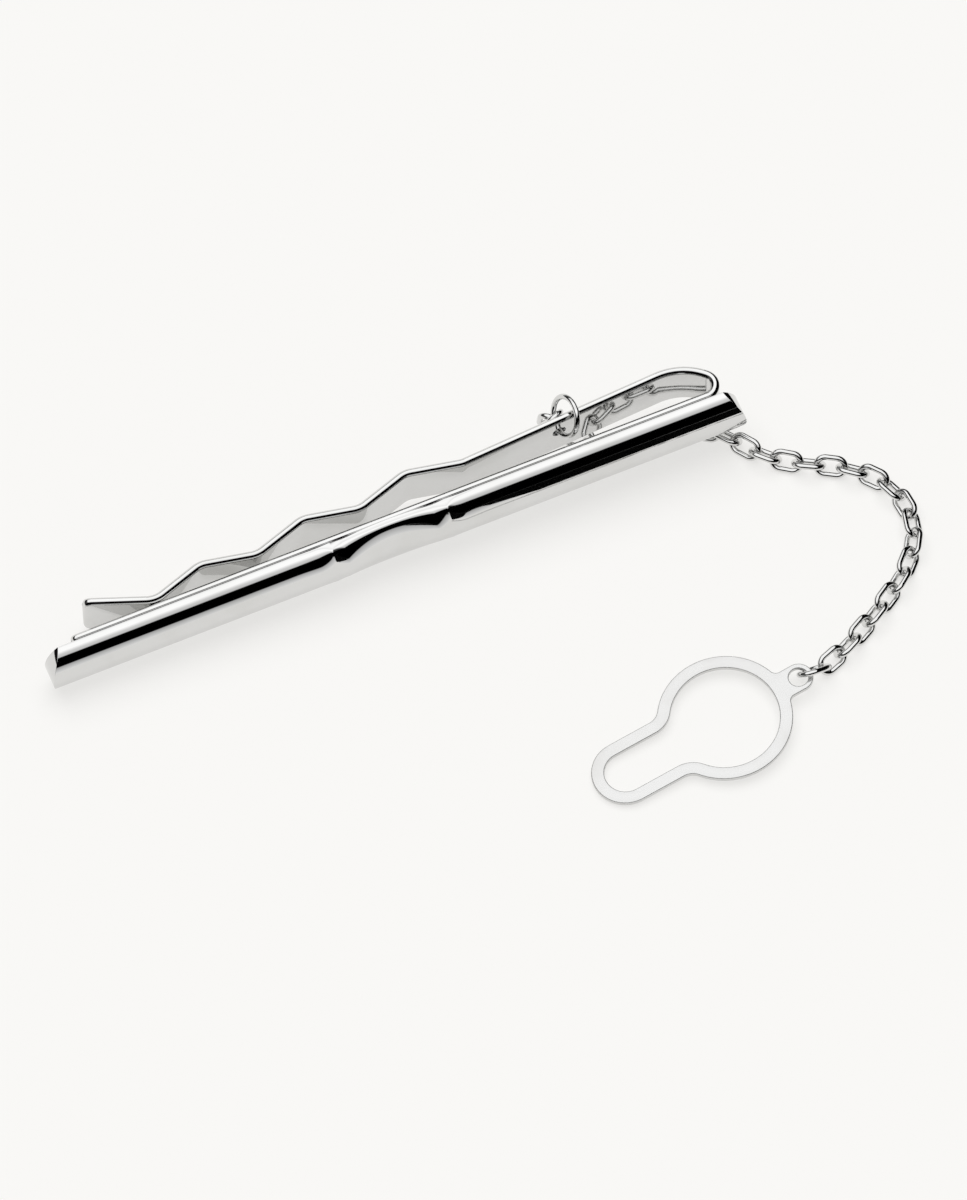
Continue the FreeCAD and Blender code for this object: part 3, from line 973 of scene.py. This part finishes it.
@dataclass
class Chain:
    """The jump ring, the links and the connecting ring, in millimetres."""

    link: WireRing = field(default_factory=lambda: WireRing(3.1, 2.1, 0.52))
    jump: WireRing = field(default_factory=lambda: WireRing(4.0, 4.0, 0.5, 40))
    connector: WireRing = field(default_factory=lambda: WireRing(3.3, 2.5, 0.5))
    hanging_rolls: tuple[float, ...] = (-11.0, 51.0, -22.0)
    connector_roll: float = 55.0
    ring_lean: float = 28.0
    sharp: float = 60.0

    def joint(self, child: str) -> Vector:
        """Where a body's hinge stands, in metres."""
        return Vector(next(item["pos_m"] for item in frame["joints"] if item["child"] == child))

    def links(self) -> list[str]:
        """The names of the link solids, from the clip to the loop."""
        return sorted(name for name in frame["nodes"] if name.startswith("chain_link_"))

    def roll(self, count: int) -> float:
        """The roll of a link, counted from one."""
        if count <= len(self.hanging_rolls):
            return self.hanging_rolls[count - 1]
        return (Lean.LEFT if count % 2 else Lean.RIGHT).value

    def place(self, ring: WireRing, shop: Workshop, node: str, turn: Matrix) -> None:
        """Put a ring where its solid is.

        Args:
            ring: The ring's sizes.
            shop: The workshop.
            node: The solid and body that it stands for.
            turn: The ring's rotation.
        """
        spot = Matrix.Translation(node_middle(node)) @ turn @ Matrix.Scale(MM, 4)
        item = shop.piece(f"{node}_polished", ring.mesh(), POLISHED, self.sharp, node, spot)
        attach(item, node)

    def build(self, shop: Workshop) -> None:
        """Make all rings."""
        lean = math.radians(self.ring_lean)
        slope = math.radians(180 + LEG_SLOPE)
        run = Vector((math.cos(slope), math.sin(slope), 0))
        out = Vector((math.sin(slope), -math.cos(slope), 0))
        away = UP * math.cos(lean) - run * math.sin(lean)
        axis = CLIP.to_3x3() @ away.cross(out)
        self.place(self.jump, shop, "jump_ring", UP.rotation_difference(axis).to_matrix().to_4x4())
        names = self.links()
        bodies = names + ["connecting_ring", "button_loop"]
        for count, name in enumerate(names, start=1):
            way = self.joint(bodies[count]) - self.joint(name)
            self.place(self.link, shop, name, facing(way, self.roll(count)))
        way = self.joint("button_loop") - self.joint("connecting_ring")
        self.place(self.connector, shop, "connecting_ring", facing(way, self.connector_roll))


# Button loop


class Pen:
    """Draws outlines in the level plane from arcs and straight lines, in millimetres."""

    def __init__(self) -> None:
        """Start with an empty sheet."""
        self.bm = bmesh.new()
        self.place = Vector()
        self.heading = 0.0
        self.tip: bmesh.types.BMVert | None = None

    def start(self, place: Vector, heading: float) -> None:
        """Put the pen down.

        Args:
            place: Where.
            heading: The direction of the first line in degrees.
        """
        self.place = place.copy()
        self.heading = math.radians(heading)
        self.tip = self.bm.verts.new(place)

    def run(self, length: float) -> None:
        """Draw straight on."""
        self.place += Vector((math.cos(self.heading), math.sin(self.heading), 0)) * length
        fresh = bmesh.ops.extrude_vert_indiv(self.bm, verts=[self.tip])["verts"][0]
        fresh.co = self.place
        self.tip = fresh

    def turn(self, angle: float, radius: float, steps: int) -> None:
        """Draw an arc.

        Args:
            angle: The turn in degrees, to the left if positive.
            radius: The arc's radius.
            steps: How many chords the arc has.
        """
        side = math.copysign(radius, angle)
        swing = math.radians(angle)
        centre = self.place + Vector((-math.sin(self.heading), math.cos(self.heading), 0)) * side
        self.tip = swung(self.bm, [self.tip], centre, swing, steps)[0]
        self.place = centre + Matrix.Rotation(swing, 3, "Z") @ (self.place - centre)
        self.heading += swing


@dataclass
class ButtonLoop:
    """The flat keyhole loop with its ear, in millimetres."""

    radius: float = 5.91
    band: float = 1.14
    sheet: float = 0.5
    tail_reach: float = 10.0
    tail_radius: float = 3.0
    neck: float = 1.5
    ear_reach: float = 7.4
    ear_radius: float = 1.3
    ear_hole: float = 0.86
    ear_neck: float = 0.6
    heading: float = -172.0
    edge: float = 0.1
    edge_steps: int = 4
    edge_angle: float = 60.0
    sharp: float = 40.0
    ear_steps: int = 24
    ear_neck_steps: int = 12
    round_steps: int = 80
    neck_steps: int = 16
    tail_steps: int = 48

    def outer(self, pen: Pen) -> None:
        """Draw the outer outline from the ear's tip round to it again."""
        web = self.ear_radius + self.ear_neck
        lean = math.asin(web / (self.radius + self.ear_neck))
        run = self.ear_reach - (self.radius + self.ear_neck) * math.cos(lean)
        bow = self.tail_radius + self.neck
        lift = math.asin(bow / (self.radius + self.neck))
        straight = self.tail_reach - (self.radius + self.neck) * math.cos(lift)
        neck = math.degrees(math.pi / 2 - lift)
        ear_neck = math.degrees(math.pi / 2 - lean)
        sweep = 180 - math.degrees(lift) - math.degrees(lean)
        pen.start(Vector((self.ear_reach + self.ear_radius, 0, 0)), 90.0)
        pen.turn(90, self.ear_radius, self.ear_steps)
        pen.run(run)
        pen.turn(-ear_neck, self.ear_neck, self.ear_neck_steps)
        pen.turn(sweep, self.radius, self.round_steps)
        pen.turn(-neck, self.neck, self.neck_steps)
        pen.run(straight)
        pen.turn(180, self.tail_radius, self.tail_steps)
        pen.run(straight)
        pen.turn(-neck, self.neck, self.neck_steps)
        pen.turn(sweep, self.radius, self.round_steps)
        pen.turn(-ear_neck, self.ear_neck, self.ear_neck_steps)
        pen.run(run)
        pen.turn(90, self.ear_radius, self.ear_steps)

    def inner(self, pen: Pen) -> None:
        """Draw the keyhole."""
        hole = self.radius - self.band
        slot = self.tail_radius - self.band
        lift = math.asin((self.tail_radius + self.neck) / (self.radius + self.neck))
        straight = self.tail_reach - (self.radius + self.neck) * math.cos(lift)
        neck = math.degrees(math.pi / 2 - lift)
        sweep = 180 - math.degrees(lift)
        pen.start(Vector((hole, 0, 0)), 90.0)
        pen.turn(sweep, hole, self.round_steps)
        pen.turn(-neck, self.neck + self.band, self.neck_steps)
        pen.run(straight)
        pen.turn(180, slot, self.tail_steps)
        pen.run(straight)
        pen.turn(-neck, self.neck + self.band, self.neck_steps)
        pen.turn(sweep, hole, self.round_steps)

    def mesh(self) -> bmesh.types.BMesh:
        """Stamp the loop out of the sheet.

        Returns:
            The mesh about the middle of the keyhole's round part, its ear along X.
        """
        pen = Pen()
        self.outer(pen)
        self.inner(pen)
        pen.start(Vector((self.ear_reach + self.ear_hole, 0, 0)), 90.0)
        pen.turn(360, self.ear_hole, self.tail_steps)
        bm = pen.bm
        bmesh.ops.remove_doubles(bm, verts=bm.verts, dist=WIRE_GAP)
        bmesh.ops.translate(bm, verts=bm.verts, vec=(0, 0, -self.sheet / 2))
        bmesh.ops.triangle_fill(bm, use_beauty=True, use_dissolve=False, edges=list(bm.edges), normal=UP)
        grown = bmesh.ops.extrude_face_region(bm, geom=list(bm.faces))["geom"]
        fresh = [item for item in grown if isinstance(item, bmesh.types.BMVert)]
        bmesh.ops.translate(bm, verts=fresh, vec=(0, 0, self.sheet))
        close_up(bm, FINE_GAP)
        soften(bm, corners(bm, self.edge_angle), self.edge, self.edge_steps)
        return bm

    def build(self, shop: Workshop) -> None:
        """Make the loop and let it ride on its body."""
        seat = next(item for item in frame["record"]["mounts"] if item["name"] == "button_hole")
        normal = Vector(seat["axis"]).normalized()
        way = math.radians(self.heading)
        run = Vector((math.cos(way), math.sin(way), 0)) * -1
        run = (run - normal * run.dot(normal)).normalized()
        turn = Matrix((run, normal.cross(run), normal)).transposed().to_4x4()
        place = Matrix.Translation(Vector(seat["pos_m"])) @ turn @ Matrix.Scale(MM, 4)
        item = shop.piece("button_loop_satin", self.mesh(), SATIN, self.sharp, "button_loop", place)
        even_normals(item)
        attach(item, "button_loop")


# Table, light and camera


@dataclass
class Studio:
    """The pale table, the soft light round it and the camera."""

    table_colour: tuple[float, float, float] = (0.947, 0.939, 0.921)
    table_reach: float = 3.0
    table_drop: float = 0.00001
    elevation: float = 63.0
    azimuth: float = 22.5
    distance: float = 5.0
    sensor: float = 24.0
    sight: float = 50.0
    pixels_per_mm: float = 11.53
    image: tuple[int, int] = (967, 1200)
    origin_pixel: tuple[float, float] = (388.05, 525.99)
    surround: tuple[tuple[float, float], ...] = (
        (0, 0.9), (9, 0.7), (18, 0.5), (20, 0.0), (51.5, 0.0), (53.5, 0.7), (62, 0.86), (72, 1.4), (84, 1.4),
        (90, 1.15), (100, 1.25), (115, 1.4), (135, 1.2), (146, 1.0), (149, 0.08), (173, 0.08), (175, 0.6),
        (180, 0.6),
    )
    side_dark: tuple[float, float] = (0.38, 0.46)
    side_height: tuple[float, float] = (0.6, 0.72)
    side_level: float = 0.06
    peak: float = 1.4
    fill: float = 0.32
    glow: float = 0.72
    sun_tip: float = 17.0
    sun_spread: float = 60.0
    front_card: tuple[float, float, float, float] = (20.5, -50.0, 90.0, -50.0)
    side_card: tuple[float, float, float, float] = (48.0, -45.0, 48.0, 30.0)
    card_top: float = 23.0
    card_slant: float = 9.0
    card_colour: tuple[float, float, float] = (0.003, 0.003, 0.003)

    def axes(self) -> tuple[Vector, Vector, Vector]:
        """The camera's right, up and backward directions."""
        tilt = math.radians(self.elevation)
        turn = math.radians(self.azimuth)
        right = Vector((math.cos(turn), -math.sin(turn), 0))
        back = Vector((-math.cos(tilt) * math.sin(turn), -math.cos(tilt) * math.cos(turn), math.sin(tilt)))
        return right, back.cross(right), back

    def camera(self) -> None:
        """Set the camera at the photograph's angle, far away with a long lens."""
        right, up, back = self.axes()
        wide, tall = self.image
        across = (wide / 2 - self.origin_pixel[0]) / self.pixels_per_mm * MM
        above = (self.origin_pixel[1] - tall / 2) / self.pixels_per_mm * MM
        data = bpy.data.cameras.new("camera")
        data.sensor_fit = "VERTICAL"
        data.sensor_height = self.sensor
        data.lens = data.sensor_height * self.distance / (tall / self.pixels_per_mm * MM)
        data.clip_end = self.sight
        item = bpy.data.objects.new("camera", data)
        bpy.context.scene.collection.objects.link(item)
        turn = Matrix((right, up, back)).transposed().to_4x4()
        item.matrix_world = Matrix.Translation(right * across + up * above + back * self.distance) @ turn
        bpy.context.scene.camera = item

    def table(self) -> None:
        """Lay the table under the lowest point of the solids."""
        bm = bmesh.new()
        bmesh.ops.create_grid(bm, x_segments=1, y_segments=1, size=self.table_reach)
        bmesh.ops.translate(bm, verts=bm.verts, vec=(0, 0, CAD_BOX[0][2] - self.table_drop))
        item = shown("table", bm)
        material, board, output = blank_material("pale_table")
        shader = board.add("ShaderNodeBsdfDiffuse", (-200, 0))
        shader.inputs["Color"].default_value = (*self.table_colour, 1)
        white = board.add("ShaderNodeEmission", (-200, -200))
        white.inputs["Color"].default_value = (*self.table_colour, 1)
        path = board.add("ShaderNodeLightPath", (-600, 300))
        seen = board.math("MAXIMUM", path.outputs["Is Camera Ray"], path.outputs["Is Glossy Ray"])
        mix = board.add("ShaderNodeMixShader", (100, 0))
        board.join(board.math("MULTIPLY", seen, self.glow), mix.inputs["Fac"])
        board.join(shader.outputs["BSDF"], mix.inputs[1])
        board.join(white.outputs["Emission"], mix.inputs[2])
        board.join(mix.outputs["Shader"], output.inputs["Surface"])
        item.data.materials.append(material)

    def vault(self, board: NodeBoard) -> bpy.types.NodeSocket:
        """The brightness of the surround, set out round a vault that runs along X.

        Args:
            board: The world's node tree.

        Returns:
            The brightness as a share of the peak.
        """
        where = board.add("ShaderNodeTexCoord", (-900, 0))
        split = board.add("ShaderNodeSeparateXYZ", (-700, 0))
        board.join(where.outputs["Generated"], split.inputs["Vector"])
        angle = board.math("ARCTAN2", split.outputs["Z"], board.math("MULTIPLY", split.outputs["Y"], -1.0))
        ramp = board.add("ShaderNodeValToRGB", (-300, 0))
        board.join(board.math("DIVIDE", angle, math.pi), ramp.inputs["Fac"])
        stops = ramp.color_ramp.elements
        while len(stops) < len(self.surround):
            stops.new(1.0)
        for stop, (degrees, level) in zip(stops, self.surround):
            stop.position = degrees / 180
            stop.color = (*[level / self.peak] * 3, 1)
        beside = board.math("ABSOLUTE", split.outputs["X"])
        low = board.math("SUBTRACT", 1.0, board.ease(split.outputs["Z"], *self.side_height))
        dim = board.math("MULTIPLY", board.ease(beside, *self.side_dark), low)
        dim = board.math("MULTIPLY", dim, 1 - self.side_level)
        scale = board.add("ShaderNodeVectorMath", (0, 0), operation="SCALE")
        board.join(ramp.outputs["Color"], scale.inputs[0])
        board.join(board.math("SUBTRACT", 1.0, dim), scale.inputs["Scale"])
        return scale.outputs["Vector"]

    def light(self) -> None:
        """A soft fill with a surround for the polished metal, in which a dark gap shows as a band."""
        world = bpy.data.worlds.new("studio")
        bpy.context.scene.world = world
        world.use_nodes = True
        board = NodeBoard(world.node_tree)
        output = board.add("ShaderNodeOutputWorld", (900, 0))
        back = board.add("ShaderNodeBackground", (700, 0))
        back.inputs["Strength"].default_value = self.peak
        board.join(back.outputs["Background"], output.inputs["Surface"])
        path = board.add("ShaderNodeLightPath", (-200, 300))
        shown = board.add("ShaderNodeMix", (200, 0), data_type="RGBA")
        shown.inputs["A"].default_value = (*[self.fill / self.peak] * 3, 1)
        board.join(self.vault(board), shown.inputs["B"])
        board.join(path.outputs["Is Glossy Ray"], shown.inputs["Factor"])
        behind = board.add("ShaderNodeMix", (450, 0), data_type="RGBA")
        board.join(shown.outputs["Result"], behind.inputs["A"])
        behind.inputs["B"].default_value = (*[part / self.peak for part in self.table_colour], 1)
        board.join(path.outputs["Is Camera Ray"], behind.inputs["Factor"])
        board.join(behind.outputs["Result"], back.inputs["Color"])
        tip = math.radians(self.sun_tip)
        data = bpy.data.lights.new("soft_sun", "SUN")
        data.angle = math.radians(self.sun_spread)
        data.energy = (1 - self.fill) * math.pi / math.cos(tip)
        item = bpy.data.objects.new("soft_sun", data)
        item.rotation_euler = (-tip, 0, 0)
        item.visible_glossy = False
        bpy.context.scene.collection.objects.link(item)

    def card(self, ends: tuple[float, float, float, float]) -> None:
        """A dark card that stands on the table and is seen only by the polished metal.

        Args:
            ends: The X and Y of its two lower corners in millimetres.
        """
        bm = bmesh.new()
        floor = CAD_BOX[0][2] / MM
        corner = bm.verts.new((ends[0], ends[1], floor))
        foot = bmesh.ops.extrude_vert_indiv(bm, verts=[corner])
        bmesh.ops.translate(bm, verts=foot["verts"], vec=(ends[2] - ends[0], ends[3] - ends[1], 0))
        grown = bmesh.ops.extrude_edge_only(bm, edges=foot["edges"])["geom"]
        top = [item for item in grown if isinstance(item, bmesh.types.BMVert)]
        bmesh.ops.translate(bm, verts=top, vec=UP * self.card_top)
        first = min(top, key=lambda vert: (vert.co.x, vert.co.y))
        slant = (corner.co - foot["verts"][0].co).normalized() * self.card_slant
        bmesh.ops.translate(bm, verts=[first], vec=slant)
        bmesh.ops.scale(bm, vec=(MM, MM, MM), verts=bm.verts)
        item = shown("dark_card", bm)
        material, board, output = blank_material("black_card")
        shader = board.add("ShaderNodeBsdfDiffuse", (400, 0))
        shader.inputs["Color"].default_value = (*self.card_colour, 1)
        board.join(shader.outputs["BSDF"], output.inputs["Surface"])
        item.data.materials.append(material)
        item.visible_camera = False
        item.visible_diffuse = False
        item.visible_shadow = False

    def build(self) -> None:
        """Set the scene round the object."""
        self.table()
        self.light()
        self.card(self.front_card)
        self.card(self.side_card)
        self.camera()
        bpy.context.scene.view_settings.view_transform = "Standard"


def main() -> None:
    """Build every piece in order, then the studio."""
    logging.basicConfig(level=logging.INFO, format="%(message)s")
    marks = PolishingMarks().group()
    shop = Workshop(polished=POLISHED.material(marks), satin=SATIN.material(marks))
    for part in (Bar(), SpringStrip(), Chain(), ButtonLoop()):
        part.build(shop)
    Studio().build()


if __name__ == "__main__":
    main()
